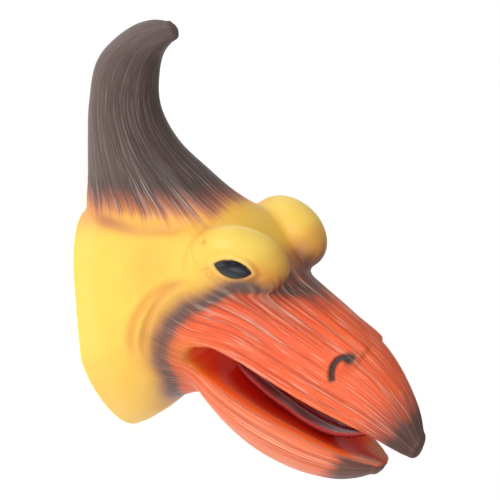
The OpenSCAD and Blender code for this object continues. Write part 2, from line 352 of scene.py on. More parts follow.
gap_rows, _ = resample(GAP, 200)
low = np.interp(FF, gap_rows[:, 0], gap_rows[:, 1])
high = np.interp(FF, gap_rows[:, 0], gap_rows[:, 2])
middle, half = (low + high) / 2, (high - low) / 2
gap = np.hypot(np.minimum(FF, 0) * 1.5, UU - middle) - half
mouth = smin(np.broadcast_to(gap[None].astype(np.float32), body.shape), loft_field(vault_map, MOUTH_CAP),
             VAULT_BLEND)
mouth = smin(mouth, loft_field(channel_map, MOUTH_CAP), CHANNEL_BLEND)
field = smax(body, -mouth, LIP_ROUND)


def sample(volume, p):
    """Value of a half volume at points in the head frame."""
    q = np.stack([np.abs(p[:, 0]) / STEP, (p[:, 1] - fs[0]) / STEP, (p[:, 2] - us[0]) / STEP], 1)
    q = np.clip(q, 0, np.array(volume.shape) - 1.001)
    i = q.astype(int)
    a = q - i
    total = 0
    for dx in (0, 1):
        for df in (0, 1):
            for du in (0, 1):
                w = ((a[:, 0] if dx else 1 - a[:, 0]) * (a[:, 1] if df else 1 - a[:, 1])
                     * (a[:, 2] if du else 1 - a[:, 2]))
                total = total + w * volume[i[:, 0] + dx, i[:, 1] + df, i[:, 2] + du]
    return total


def sample2(plane, f, u):
    """Value of a side map at points of the side plane."""
    return sample(np.broadcast_to(plane[None], (2, *plane.shape)), np.stack([f * 0, f, u], 1))


def slope(volume, p):
    """Direction in which a field grows fastest."""
    e = STEP
    g = np.stack([sample(volume, p + d) - sample(volume, p - d) for d in np.eye(3) * e], 1)
    return g / np.maximum(np.linalg.norm(g, axis=1, keepdims=True), 1e-9)


# ---------------------------------------------------------------- mesh of the whole skin
whole = np.concatenate([field[:0:-1], field]).astype(np.float32)
FIELD_LIMIT = 3
volume = openvdb.FloatGrid(background=float(FIELD_LIMIT))
volume.copyFromArray(np.ascontiguousarray(np.clip(whole, -FIELD_LIMIT, FIELD_LIMIT)))
points, quads = volume.convertToQuads(isovalue=0)
del whole, volume
P = points.astype(float) * STEP
P[:, 0] -= (len(xs) - 1) * STEP
P[:, 1] += fs[0]
P[:, 2] += us[0]
quads = quads.astype(np.int64)


def corner_sum(values, faces, count):
    """Sum of one row per face at each of its corners."""
    return np.stack([np.bincount(faces.ravel(), np.repeat(values[:, c], faces.shape[1]), count)
                     for c in range(values.shape[1])], 1)


def face_normals(p, faces):
    return np.cross(p[faces[:, 2]] - p[faces[:, 0]], p[faces[:, 3]] - p[faces[:, 1]])


def vertex_normals(p, faces):
    n = corner_sum(face_normals(p, faces), faces, len(p))
    return n / np.maximum(np.linalg.norm(n, axis=1, keepdims=True), 1e-12)


if np.sum(P[quads[:, 0]] * face_normals(P, quads)) < 0:
    quads = quads[:, ::-1].copy()


def sides_of(faces):
    """The four sides of every face, in the direction that the face runs."""
    return np.concatenate([faces[:, [0, 1]], faces[:, [1, 2]], faces[:, [2, 3]], faces[:, [3, 0]]])


def edges_of(faces):
    """Every edge once."""
    return np.unique(np.sort(sides_of(faces), 1), axis=0)


def neighbour_mean(values, edges, count):
    """For each point, the mean of the values at the points that it shares an edge with."""
    total = np.stack([np.bincount(edges.ravel(), v[edges[:, ::-1]].ravel(), count) for v in values.T], 1)
    number = np.bincount(edges.ravel(), minlength=count)[:, None]
    return total / np.maximum(number, 1)


def to_surface(p, times=2):
    """Points moved onto the surface of the field."""
    for _ in range(times):
        n = slope(field, p)
        e = 0.5 * STEP
        rate = (sample(field, p + n * e) - sample(field, p - n * e)) / (2 * e)
        p = p - n * np.clip(sample(field, p) / np.maximum(rate, 0.3), -0.6, 0.6)[:, None]
    return p


SKIN_PASSES, SEAM_PASSES, THROAT_PASSES, WALL_PASSES = 3, 8, 16, 6
all_edges = edges_of(quads)
for _ in range(SKIN_PASSES):
    P += 0.5 * (neighbour_mean(P, all_edges, len(P)) - P)
P = to_surface(P)

# The neck ends in a flat rim: faces below it go, and the last row lies on it.
row = to_row(P) * 1000
quads = quads[row[quads][:, :, 2].mean(1) > 0]
used = np.unique(quads)
order = np.full(len(P), -1)
order[used] = np.arange(len(used))
P, quads = P[used], order[quads]
all_edges = edges_of(quads)
print("skin", len(P), "points", len(quads), "faces")

# ---------------------------------------------------------------- which piece each face belongs to
# Outlines in the side plane of the horn and of the beaks.
HORN_ZONE = [(-130, 7), (-92, 22.4), (-44, 49.3), (-26, 59), (-23, 67), (-45, 170), (-130, 170)]
BEAK_ZONE = [(27, 80), (27, 53), (22, 49), (4, 38), (-10, 23), (-14.5, 12), (-15, 0), (-12, -10),
             (-6, -18), (0, -60), (140, -60), (140, 80)]
# Round the hinge: the radius of the folds at the mouth corners, and the directions in degrees, from forward,
# between which the lower beak and the throat web lie.
FOLD_RADIUS = 9
WEB_REAR, WEB_FRONT, JAW_TOP = -101, -75, -2
# Piece, the CAD node it stands for, its material slot
PIECES = [("Face", "face_skin", "yellow_rubber"), ("Horn", "casque_horn", "horn_rubber"),
          ("Upper_beak", "upper_beak", "beak_rubber"), ("Lower_beak", "lower_beak", "beak_rubber"),
          ("Throat_web", "throat_web", "yellow_rubber"), ("Mouth_corner_right", "gusset_right", "beak_rubber"),
          ("Mouth_corner_left", "gusset_left", "beak_rubber"), ("Palate", "palate", "mouth_rubber"),
          ("Mouth_floor", "mouth_floor", "mouth_rubber"), ("Mouth_fold", "mouth_fold", "mouth_rubber")]
BENDING = {"Lower_beak", "Throat_web", "Mouth_corner_right", "Mouth_corner_left", "Mouth_floor", "Mouth_fold"}


def zones():
    """The number of the piece that each face belongs to."""
    x, f, u = (P[quads].mean(1)).T
    wet = (-sample(mouth, P) - sample(body, P))[quads].mean(1) > 0
    angle, r = np.degrees(np.arctan2(u, f)), np.hypot(f, u)
    fold = (r <= FOLD_RADIUS) & ~((f > 0) & (u > 0))
    jaw = (angle > WEB_FRONT) & (angle < JAW_TOP) & ~fold
    web = (angle > WEB_REAR) & (angle <= WEB_FRONT) & ~fold
    number = {name: i for i, (name, _, _) in enumerate(PIECES)}
    made = np.full(len(quads), number["Face"])
    made[inside(f, u, BEAK_ZONE)] = number["Upper_beak"]
    made[web] = number["Throat_web"]
    made[jaw] = number["Lower_beak"]
    made[fold & (x < 0)] = number["Mouth_corner_right"]
    made[fold & (x >= 0)] = number["Mouth_corner_left"]
    made[inside(f, u, HORN_ZONE)] = number["Horn"]
    made[wet] = number["Palate"]
    made[wet & jaw] = number["Mouth_floor"]
    made[wet & (fold | web)] = number["Mouth_fold"]
    return made


def seams(zone):
    """Edges between faces of different pieces."""
    e = sides_of(quads)
    face = np.tile(np.arange(len(quads)), 4)
    key = np.sort(e, 1) @ np.array([len(P), 1])
    order = np.argsort(key, kind="stable")
    key, face, e = key[order], face[order], e[order]
    pair = np.nonzero(key[1:] == key[:-1])[0]
    return e[pair[zone[face[pair]] != zone[face[pair + 1]]]]


zone = zones()
seam = seams(zone)
on_seam = np.unique(seam)
for _ in range(SEAM_PASSES):
    moved = neighbour_mean(P, seam, len(P))
    P[on_seam] += 0.5 * (moved - P)[on_seam]
P[on_seam] = to_surface(P[on_seam], 1)
base_row = to_row(P) * 1000
rim = base_row[:, 2] < 0.6 * STEP

# ---------------------------------------------------------------- places on the skin
x, f, u = P.T
ax = np.abs(x)
N = vertex_normals(P, quads)
depth_in_mouth = -sample(body, P)
wet = ss(-0.4, 1.2, -sample(mouth, P) + depth_in_mouth)
gap_middle = np.interp(f, gap_rows[:, 0], gap_rows[:, 1:3].mean(1))
below = u < gap_middle


def flow(m, radius):
    """Distance along a loft and round it, in mm, for each point."""
    t, h, w = (sample2(m[k], f, u) for k in ("t", "h", "w"))
    return sample2(m["s"], f, u), np.arctan2(x / w, t / h) * radius


horn_s, horn_a = flow(horn_map, 18)
upper_s, upper_a = flow(upper_map, 22)
lower_s, lower_a = flow(lower_map, 20)
to_horn = -signed(f, u, HORN_ZONE)
to_beak = -signed(f, u, BEAK_ZONE)
on_horn = ss(-10, 0, to_horn)
on_beak = ss(-3, 1, to_beak)
flow_s = np.where(to_horn > -14, horn_s, np.where(below, lower_s, upper_s))
flow_a = np.where(to_horn > -14, horn_a, np.where(below, lower_a + 200, upper_a + 100))

# Eye: an almond on the outer side of each brow dome.
EYE_AT, EYE_TIP = (1.4, 53.3), math.radians(11)
EYE_LONG, EYE_HIGH = 8.7, 4.5
EYE_ARC = (EYE_LONG**2 + EYE_HIGH**2) / (2 * EYE_HIGH)


def eye_local(f, u):
    df, du = f - EYE_AT[0], u - EYE_AT[1]
    return df * math.cos(EYE_TIP) + du * math.sin(EYE_TIP), du * math.cos(EYE_TIP) - df * math.sin(EYE_TIP)


ef, eu = eye_local(f, u)
to_lid = np.hypot(ef, np.abs(eu) + EYE_ARC - EYE_HIGH) - EYE_ARC
eye_side = ss(26, 31, ax)

# Creases of the soft skin, as bent lines in the side plane: (points, depth, width)
CREASES = {
    "cheek": ([(-11, 37), (-17, 33), (-22, 26.4), (-25, 15.8), (-25, 5), (-21.8, -7), (-15, -14.5)], 0.9, 1.4),
    "cheek_outer": ([(-18, 35), (-24, 27), (-30, 13), (-31, 0.4), (-26.5, -11.5), (-20, -17)], 0.9, 1.7),
    "brow_rear": ([(-20, 60), (-24, 54), (-24.3, 47), (-21, 41.3), (-16.2, 37)], 0.3, 1.0),
    "horn_fold": ([(-90, 21), (-83, 24), (-75, 26.8), (-64, 31), (-54, 35.4), (-44, 42), (-35, 48.5), (-27, 56)],
                  1.1, 2.0),
}
FEET = [[(-7.6, 49.6), (-10, 46.5), (-12.5, 43.5)], [(-7, 47.5), (-4.5, 44.5), (0, 42.6)],
        [(-9, 48), (-8, 44.5), (-4, 41.5)]]
NOSTRIL = [(60.4, 22.4), (58.7, 25.4), (57.8, 29), (58.5, 31.8), (60.3, 33.2), (62.8, 33.4)]
NOSTRIL_BUMP = (61.8, 28.8)
crease = {}
for name, (line, depth, width) in CREASES.items():
    d, along = path_distance(f, u, smooth_path(line))
    crease[name] = (d, ss(0, 0.25, along) * ss(1, 0.75, along) * ss(14, 22, ax), depth, width)
nostril_d, nostril_t = path_distance(f, u, smooth_path(NOSTRIL))
bump_d = np.hypot((f - NOSTRIL_BUMP[0]) * 0.8, u - NOSTRIL_BUMP[1])
feet = np.zeros(len(P))
for line in FEET:
    d, along = path_distance(f, u, smooth_path(line))
    feet = np.maximum(feet, bell(d, 0.5) * ss(0, 0.15, along) * ss(1, 0.5, along) * eye_side)

# ---------------------------------------------------------------- relief of the skin
streak_fine = noise(flow_s / 15, flow_a / 1.5, 1, 2)
streak_wide = noise(flow_s / 30, flow_a / 3.6, 2)
lower_tip = ss(78, 90, f) * below
relief = 0.35 * noise(f / 21 + 0.31 * ax / 9, u / 23, 3) * (1 - on_beak) * (1 - on_horn)
relief += (0.16 * streak_fine + 0.12 * streak_wide) * (0.25 + 0.75 * ss(0, 12, to_beak)) * on_beak * (1 - wet)
relief += (0.14 * streak_fine + 0.16 * streak_wide) * on_horn
relief += 0.3 * noise(f / 40, flow_a / 2.6, 4) * lower_tip * wet
for d, side, depth, width in crease.values():
    relief -= side * depth * (bell(d, width) - 0.45 * bell(d - 2.2 * width, 1.2 * width))
relief += eye_side * (-1.5 * ss(0.1, -0.9, to_lid) + 0.6 * bell(to_lid - 0.9, 0.85)
                      - 0.15 * bell(to_lid - 2.7, 0.8) * ss(-1, 2, eu) + 0.15 * bell(to_lid - 4.2, 1.5) * ss(-1, 2, eu)
                      - 0.3 * bell(to_lid - 3.4, 1.1) * ss(1, -2, eu) + 0.2 * bell(to_lid - 5.2, 1.4) * ss(1, -2, eu))
relief -= 0.25 * feet
nostril_width = 1.3 + 0.8 * ss(0.75, 0.95, nostril_t)
relief += (1 - wet) * (-1.3 * bell(nostril_d, nostril_width) + 1.2 * bell(bump_d, 2.6)
                       + 0.4 * bell(nostril_d - 2.2, 0.9))
# The skin swells behind each nostril and steps down in front of it.
relief += (1 - wet) * on_beak * 1.7 * ss(48, 63, f) * ss(67.5, 65, f) * bell(u - 37, 5.5) * ss(3, 9, ax)
V = P + N * np.where(rim, 0, relief)[:, None]
V += 0.25 * (neighbour_mean(V, all_edges, len(V)) - V) * (~rim)[:, None]
# Evens out a faint line low on the plain skin of the throat.
even = 0.5 * ((1 - on_beak) * (1 - wet) * ss(-24, -32, u) * ss(10, 0, f) * (~rim))[:, None]
for _ in range(THROAT_PASSES):
    V += even * (neighbour_mean(V, all_edges, len(V)) - V)
NV = vertex_normals(V, quads)

# Wall thickness, less where the form is thin.
FULL_WALL = 2.8
wall = np.full(len(P), FULL_WALL)
for reach in (4.4, 3.4, 2.4, 1.6, 1.0, 0.6):
    thin = sample(field, P - N * reach) > -0.5 * reach
    wall[thin] = np.minimum(wall[thin], 0.45 * reach)
for _ in range(WALL_PASSES):
    wall = np.minimum(wall, neighbour_mean(wall[:, None], all_edges, len(P))[:, 0] * 1.02)

# ---------------------------------------------------------------- colours of the skin
def colour(code):
    """A screen colour as linear values."""
    v = np.array([int(code[i:i + 2], 16) for i in (1, 3, 5)]) / 255
    return np.where(v <= 0.04045, v / 12.92, ((v + 0.055) / 1.055) ** 2.4)


paint = np.tile(colour("#F7C64E"), (len(P), 1))


def brush(code, mask):
    """Paints a colour over the skin where the mask is above 0."""
    global paint
    m = np.clip(mask, 0, 1)[:, None]
    paint = paint * (1 - m) + colour(code) * m


cloud = noise(f / 16, u / 16 + ax / 20, 5, 2)
flick = noise(flow_s / 13, flow_a / 1.7, 6, 2)
dome_d = np.sqrt(((ax - 27) / 15) ** 2 + ((f + 3) / 22) ** 2 + ((u - 62) / 9) ** 2)
# Painted highlight: lighter yellow on top of the brow domes.
brush("#FBDA64", 0.9 * ss(1.3, 0.4, dome_d))
brush("#F8CE62", 0.7 * ss(22, 4, base_row[:, 2]))
# Painted shade: deeper yellow under the root of the horn, on the sides below it, and behind and below the mouth
# corners.
brush("#F3B44A", 0.75 * ss(-13, -1, to_horn) * (0.8 + 0.4 * cloud))
brush("#F3B44A", 0.6 * bell(np.hypot(f + 36, u - 30), 15) * ss(10, 30, ax) * ss(0, -6, to_horn))
brush("#F0B24C", 0.6 * ss(26, 4, np.hypot(f + 16, u + 4)) * (1 - on_beak))
# Painted shade in the creases of the cheeks and behind the brow.
for name in ("cheek", "cheek_outer", "brow_rear"):
    d, side, _, width = crease[name]
    brush("#DC9A42", side * (0.3 if name == "brow_rear" else 0.7) * bell(d, 1.5 * width))
# Painted shade in the fold at the root of the horn and below it, browner towards the rear.
d, side, _, _ = crease["horn_fold"]
brush("#D39A50", side * 0.7 * bell(d, 2.4))
brush("#B87448", 0.85 * side * bell(d, 3.6) * ss(-48, -75, f))
brush("#B06A4C", 0.55 * ss(-62, -86, f) * bell(np.minimum(to_horn + 2, 0), 9) * ss(30, 16, np.abs(u - 22)))
# Painted shade round the front corner of each eye and under it.
brush("#E89A34", 0.8 * bell(to_lid - 1.6, 1.7) * eye_side * ss(4, 9, ef))
brush("#F2AC3C", 0.55 * bell(to_lid - 2.2, 2.2) * eye_side * ss(0, -4, eu))
brush("#FBE7A0", 0.3 * bell(to_lid - 0.6, 0.6) * eye_side)
# Painted shade in the crow's-feet creases by each eye.
brush("#B8802F", 0.4 * feet)
# Airbrushed band round the root of the beak, brown near it and rust further out.
root_front = ss(10, 20, f) * ss(40, 47, u)
band_at = to_beak - 0.4 + 4.6 * ss(-8, 8, f) - 8.2 * root_front
under_eye = bell(np.hypot((f - 14) / 1.5, u - 41), 10)
between = ss(6, 20, f) * ss(44, 50, u) * ss(30, 18, ax)
brush("#F0A040", 0.9 * bell(band_at, 11) * (1 - on_beak) * ss(34, 12, ax) * ss(-6, 12, f) * ss(40, 47, u))
brush("#C58A48", 0.8 * bell(np.minimum(band_at + 3, 0), 7 + 3 * under_eye) * (1 - on_beak))
brush("#A0624A", 0.75 * bell(np.minimum(band_at + 2.5, 0), 3.6 + 2 * under_eye) * (1 - on_beak))
brush("#EFA23C", 0.8 * bell(np.hypot(f - 18, u - 53), 9) * (1 - on_beak) * ss(8, 16, ax))
brush("#9C5848", 0.85 * between * bell(np.minimum(band_at + 5, 0), 6.5))
# Beak
beak_mask = ss(-2.5, 0.5, to_beak + 0.8 * flick)
brush("#F5622F", beak_mask)
brush("#FF7A34", beak_mask * ss(7, 0, np.abs(u - gap_middle) - 2 - 4 * ss(20, 60, f)) * ss(20, 40, f) * ~below)
brush("#EE5830", 0.45 * beak_mask * ss(0.1, 0.7, cloud) * ~below)
brush("#FF7E4C", 0.85 * beak_mask * below * ss(0, 14, f))
brush("#FFA07A", 0.5 * beak_mask * ss(-18, -34, u) * ss(0, 14, f) * ss(76, 60, f))
brush("#E0603E", 0.6 * beak_mask * ss(9, 1, to_beak) * (0.7 + 0.5 * flick))
brush("#5E4B45", np.clip(bell(band_at + 0.9 * flick, 3.6 + 1.5 * under_eye) * 1.2, 0, 1) * (1 - wet) * 0.95)
brush("#5A4440", 0.9 * root_front * ss(18, 3, np.abs(to_beak - 4)) * (0.7 + 0.6 * flick))
# Tips
tip = np.where(below, ss(73, 83, f + 4 * flick) * ss(-9.9, -11.4, u),
               ss(90, 101, f + 0.3 * (20 - u) + 3 * flick))
brush("#B84A34", (1 - wet) * np.where(below, 0, bell(f + 0.35 * (20 - u) - 92, 7)) * 0.8)
brush("#463632", (1 - wet) * tip * np.where(below, 0.92, 0.97))
# Horn: rust at the root, brown above
edge = to_horn + 3 * noise(flow_s / 60, flow_a / 1.3, 7) + 2.2 * noise(flow_s / 60, flow_a / 4, 8)
brush("#D0854A", ss(-6, 2, edge) * on_horn)
brush("#9C5A44", ss(-2, 6, edge) * on_horn)
brush("#4C3A35", ss(2, 13, edge))
brush("#4E3A33", 0.8 * bell(horn_s - 68, 24) * ss(14, 26, to_horn) * bell(horn_a - 6, 16))
brush("#6E5E5C", 0.45 * ss(95, 120, horn_s) * ss(12, 24, to_horn))
brush("#7A6662", 0.35 * ss(22, 40, np.abs(horn_a)) * ss(8, 20, to_horn))
# Nostrils and a small dimple on the right brow
brush("#E8531F", 0.8 * bell(bump_d, 2.3) * (1 - wet))
brush("#3A2A26", (1 - wet) * np.clip(1.6 * bell(nostril_d, nostril_width), 0, 1))
dimple = np.hypot(f + 16.3, u - 56.7)
brush("#D9822A", 0.8 * bell(dimple, 1.1) * ss(0, 10, -x))
# Mouth
corner = bell(np.hypot(f + 2, u), 8) * ss(20, 27, ax)
brush("#FF9440", 0.85 * corner)
lower_half = np.interp(f, [s[0] for s in LOWER], [s[3] for s in LOWER]) - LIP
inward = 1 - ax / np.maximum(lower_half, 3)
brush("#FF6224", wet)
brush("#FF4A1C", wet * below * ss(0.1, 0.36, inward) * ss(-8, 6, f))
brush("#F02A12", wet * below * ss(0.34, 0.6, inward) * ss(2, 18, f) * ss(92, 80, f))
brush("#E8906C", wet * below * ss(80, 90, f) * ss(0.9, 0.4, inward))
brush("#E03A14", wet * ~below * ss(0.4, 3, depth_in_mouth) * ss(-4, 12, f))
brush("#8A1812", wet * ~below * ss(0.4, 3, depth_in_mouth) * ss(16, 34, f))
brush("#6E5A50", wet * ~below * ss(62, 72, f) * ss(0.5, 2.5, depth_in_mouth) * 0.9)
brush("#F89038", 0.85 * wet * bell(f + 2, 10) * ss(9, 2, depth_in_mouth))

streak = on_beak * (1 - wet) * (0.35 + 0.65 * np.where(below, 0.9, ss(4, 12, u - gap_middle))) * (1 - 0.75 * tip)
streak = np.maximum(streak, on_horn * (0.5 + 0.5 * ss(70, 20, horn_s)) * (0.35 + 0.65 * ss(-5, 6, to_horn)))
streak = np.maximum(streak, 0.9 * (0.3 + 0.7 * under_eye) * (1 - on_beak) * ss(-9, -3, to_beak))
streak *= 1 - 0.9 * bell(bump_d, 3.5)
streak *= 1 - 0.95 * bell(nostril_d, 2.4)
streak = np.maximum(streak, 0.6 * lower_tip * wet)
flow_s = np.where(below & (to_horn < -14), 0.6 * flow_s, flow_s)


# ---------------------------------------------------------------- materials
def shader_of(name):
    mat = bpy.data.materials.new(name)
    mat.use_nodes = True
    tree = mat.node_tree
    tree.nodes.clear()
    out = tree.nodes.new("ShaderNodeOutputMaterial")
    shader = tree.nodes.new("ShaderNodeBsdfPrincipled")
    tree.links.new(shader.outputs[0], out.inputs[0])
    return mat, tree, shader


def put(tree, kind, links=(), **settings):
    """A node with its settings and its inputs, which are sockets or plain values."""
    node = tree.nodes.new(kind)
    for key, value in settings.items():
        setattr(node, key, value)
    for key, value in dict(links).items():
        if isinstance(value, bpy.types.NodeSocket):
            tree.links.new(value, node.inputs[key])
        else:
            node.inputs[key].default_value = value
    return node


def maths(tree, operation, a, b):
    return put(tree, "ShaderNodeMath", {0: a, 1: b}, operation=operation).outputs[0]


def remap(tree, value, low, high, to_low=0.0, to_high=1.0):
    """Smooth step from to_low at low to to_high at high."""
    return put(tree, "ShaderNodeMapRange", {0: value, 1: low, 2: high, 3: to_low, 4: to_high},
               interpolation_type="SMOOTHSTEP").outputs[0]


def blend_colour(tree, share, a, b, mode="MIX"):
    return put(tree, "ShaderNodeMix", {0: share, 6: a, 7: b}, data_type="RGBA", blend_type=mode).outputs[2]


def grain(tree, vector, scale, detail=2.0, roughness=0.55):
    """Noise from 0 to 1, stretched by a scale for each axis."""
    spot = put(tree, "ShaderNodeVectorMath", {0: vector, 1: scale}, operation="MULTIPLY").outputs[0]
    return put(tree, "ShaderNodeTexNoise", {"Vector": spot, "Scale": 1.0, "Detail": detail,
                                            "Roughness": roughness}).outputs[0]


def rubber(name, light_colour, light_share, dark_colour, dark_share):
    """Painted soft rubber with light and dark streaks that follow the form; the dark streaks are painted shade in the
    grooves beside the raised light ones.
    """
    mat, tree, shader = shader_of(name)
    colour_in = put(tree, "ShaderNodeAttribute", attribute_name="paint").outputs["Color"]
    flow_in = put(tree, "ShaderNodeAttribute", attribute_name="flow").outputs["Vector"]
    home = put(tree, "ShaderNodeAttribute", attribute_name="home").outputs["Vector"]
    amount = put(tree, "ShaderNodeAttribute", attribute_name="streak").outputs["Fac"]
    shine = put(tree, "ShaderNodeAttribute", attribute_name="wet").outputs["Fac"]
    lines = grain(tree, flow_in, (0.012, 0.8, 1), 3, 0.7)
    other = grain(tree, flow_in, (0.010, 1.15, 7), 3, 0.65)
    dashes = grain(tree, flow_in, (0.06, 1.3, 3), 2, 0.5)
    patches = grain(tree, home, (0.045, 0.045, 0.045), 2)
    pores = grain(tree, home, (1.7, 1.7, 1.7), 3)
    light = maths(tree, "MAXIMUM", remap(tree, lines, 0.53, 0.65), remap(tree, dashes, 0.54, 0.68, 0.0, 0.65))
    light = maths(tree, "MULTIPLY", light, amount)
    light = maths(tree, "MULTIPLY", light, remap(tree, patches, 0.32, 0.6, 0.45, 1.0))
    # Dark streaks: painted shade, which the bump below sinks as grooves.
    dark = maths(tree, "MULTIPLY", remap(tree, other, 0.50, 0.60), amount)
    c = blend_colour(tree, maths(tree, "MULTIPLY", dark, dark_share), colour_in, dark_colour)
    c = blend_colour(tree, maths(tree, "MULTIPLY", light, light_share), c, light_colour)
    c = blend_colour(tree, remap(tree, patches, 0.3, 0.75, 0.0, 0.10), c, (0.75, 0.36, 0.1, 1), "MULTIPLY")
    tree.links.new(c, shader.inputs["Base Color"])
    rough = remap(tree, pores, 0.3, 0.7, 0.40, 0.50)
    rough = maths(tree, "SUBTRACT", rough, maths(tree, "MULTIPLY", shine, 0.06))
    tree.links.new(rough, shader.inputs["Roughness"])
    height = maths(tree, "SUBTRACT", light, maths(tree, "MULTIPLY", dark, 0.9))
    height = maths(tree, "ADD", height, maths(tree, "MULTIPLY", pores, 0.12))
    bump = put(tree, "ShaderNodeBump", {"Strength": 0.7, "Distance": 0.00035, "Height": height})
    tree.links.new(bump.outputs[0], shader.inputs["Normal"])
    shader.inputs["Specular IOR Level"].default_value = 0.45
    return mat


# Light streak colour, and the dark streak colour of the beak and mouth, which is painted shade in the grooves between
# the streaks.
CREAM, STREAK_SHADE = (1.0, 0.74, 0.55, 1), (0.36, 0.035, 0.012, 1)
materials = {"yellow_rubber": rubber("yellow_rubber", CREAM, 0.4, (0.12, 0.06, 0.04, 1), 0.5),
             "horn_rubber": rubber("horn_rubber", (0.75, 0.65, 0.6, 1), 0.34, (0.03, 0.02, 0.016, 1), 0.6),
             "beak_rubber": rubber("beak_rubber", CREAM, 0.42, STREAK_SHADE, 0.5),
             "mouth_rubber": rubber("mouth_rubber", CREAM, 0.4, STREAK_SHADE, 0.4)}


# ---------------------------------------------------------------- pieces of the skin
def attribute(mesh, name, kind, values):
    made = mesh.attributes.new(name, kind, "POINT")
    key = {"FLOAT": "value", "FLOAT_VECTOR": "vector", "FLOAT_COLOR": "color"}[kind]
    made.data.foreach_set(key, np.asarray(values, np.float32).ravel())


def new_piece(name, points, faces, normals=None, mat=None):
    """A mesh object from points in the head frame and faces of three or four corners."""
    mesh = bpy.data.meshes.new(name)
    # (x, F, U) is a left-handed set of axes, so each face turns round on its way to the row frame.
    mesh.from_pydata(to_row(points).tolist(), [], [face[::-1] for face in faces])
    mesh.update()
    mesh.shade_smooth()
    if normals is not None:
        mesh.normals_split_custom_set(normals[:, ::-1].reshape(-1, 3).tolist())
    if mat is not None:
        mesh.materials.append(mat)
    obj = bpy.data.objects.new(name, mesh)
    scene.collection.objects.link(obj)
    return obj


def direction_to_row(n):
    """Directions in the head frame, in the row frame."""
    return to_row(n) * 1000 - np.array([0, HINGE[1], HINGE[2]])


def settle(obj, nodes, bends=False):
    """Puts a piece on the head's body, or with bends bakes its place into its points, and hides the CAD nodes that it
    stands for.
    """
    if bends:
        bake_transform(obj)
    else:
        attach(obj, "head")
    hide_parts(*nodes)


inner_P = V - NV * wall[:, None]
inner_row = to_row(inner_P) * 1000
outer_row = to_row(V) * 1000
# The rim is flat: its outer and inner edges lie on the ground plane.
down = np.stack([np.zeros(len(V)), np.full(len(V), SIN), np.full(len(V), COS)], 1)
V[rim] -= down[rim] * outer_row[rim, 2:3]
inner_P[rim] -= down[rim] * inner_row[rim, 2:3]



def both(values, used):
    """The values of a piece's outer points, then the same for its inner points."""
    return np.concatenate([values[used], values[used]])


for number, (name, node, slot) in enumerate(PIECES):
    q = quads[zone == number]
    used = np.unique(q)
    local = np.full(len(V), -1)
    local[used] = np.arange(len(used))
    q = local[q]
    n = len(used)
    e = sides_of(q)
    key = e[:, 0] * n + e[:, 1]
    open_edges = e[~np.isin(key, e[:, 1] * n + e[:, 0])]
    a, b = open_edges.T
    strip = np.stack([b, a, a + n, b + n], 1)
    faces = np.concatenate([q, q[:, ::-1] + n, strip])
    pts = np.concatenate([V[used], inner_P[used]])
    out = direction_to_row(NV[used])
    strip_n = direction_to_row(face_normals(pts, strip))
    strip_n /= np.maximum(np.linalg.norm(strip_n, axis=1, keepdims=True), 1e-9)
    loops = np.concatenate([out[q], -out[q[:, ::-1]], np.repeat(strip_n[:, None], 4, 1)])
    obj = new_piece(name, pts, faces.tolist(), loops, materials[slot])
    attribute(obj.data, "paint", "FLOAT_COLOR", np.concatenate([both(paint, used), np.ones((2 * n, 1))], 1))
    attribute(obj.data, "flow", "FLOAT_VECTOR",
              np.stack([both(flow_s, used), both(flow_a, used), np.zeros(2 * n)], 1))
    attribute(obj.data, "home", "FLOAT_VECTOR", both(P, used))
    attribute(obj.data, "streak", "FLOAT", np.concatenate([streak[used], np.zeros(n)]))
    attribute(obj.data, "wet", "FLOAT", np.concatenate([wet[used], np.zeros(n)]))
    settle(obj, [node], name in BENDING)
    print(name, 2 * len(faces), "triangles")


# ---------------------------------------------------------------- eyes
def skin_side(f, u):
    """How far out to the side the skin of the brow lies at a point of the side plane."""
    steps = np.arange(20, 50, 0.25)
    values = np.stack([sample(body, np.stack([f * 0 + s, f, u], 1)) for s in steps], 1)
    k = np.clip((values < 0).sum(1) - 1, 0, len(steps) - 2)
    i = np.arange(len(f))
    a, b = values[i, k], values[i, k + 1]
    return steps[k] + 0.25 * np.clip(a / np.where(a == b, 1, a - b), 0, 1)


def almond(name, side, scale, lift, bulge, thick, mat, shift=(0, 0)):
    """Closed almond-shaped lens lying on the brow."""
    rings, around = 14, 64
    phi = np.arange(around) * 2 * math.pi / around
    c = EYE_ARC - EYE_HIGH
    s = np.abs(np.sin(phi))
    reach = (-c * s + np.sqrt(c * c * s * s + EYE_ARC**2 - c * c)) * scale
    rho = np.sin(np.linspace(0, 1, rings + 1)[1:] * math.pi / 2)
    uu = (rho[:, None] * reach * np.cos(phi)).ravel() + shift[0]
    vv = (rho[:, None] * reach * np.sin(phi)).ravel() + shift[1]
    uu, vv = np.append(uu, shift[0]), np.append(vv, shift[1])
    r = np.append(np.repeat(rho, around), 0)
    ff = EYE_AT[0] + uu * math.cos(EYE_TIP) - vv * math.sin(EYE_TIP)
    ww = EYE_AT[1] + uu * math.sin(EYE_TIP) + vv * math.cos(EYE_TIP)
    skin = skin_side(ff, ww)
    front = skin + lift + bulge * (1 - r**2)
    back = skin + lift - 0.25 - thick * (1 - r**3)
    pts = np.concatenate([np.stack([side * front, ff, ww], 1), np.stack([side * back, ff, ww], 1)])
    n = len(ff)
    faces = []
    for j in range(rings - 1):
        for i in range(around):
            a, b = j * around + i, j * around + (i + 1) % around
            faces.append([a, b, b + around, a + around])
    for i in range(around):
        faces.append([n - 1, (i + 1) % around, i])
    faces += [[k + n for k in reversed(face)] for face in faces]
    last = (rings - 1) * around
    for i in range(around):
        a, b = last + i, last + (i + 1) % around
        faces.append([a, b, b + n, a + n])
    mesh_faces = faces if side < 0 else [face[::-1] for face in faces]
    obj = new_piece(name, pts, mesh_faces, mat=mat)
    attribute(obj.data, "home", "FLOAT_VECTOR", np.stack([uu, vv, uu * 0], 1).tolist() * 2)
    return obj


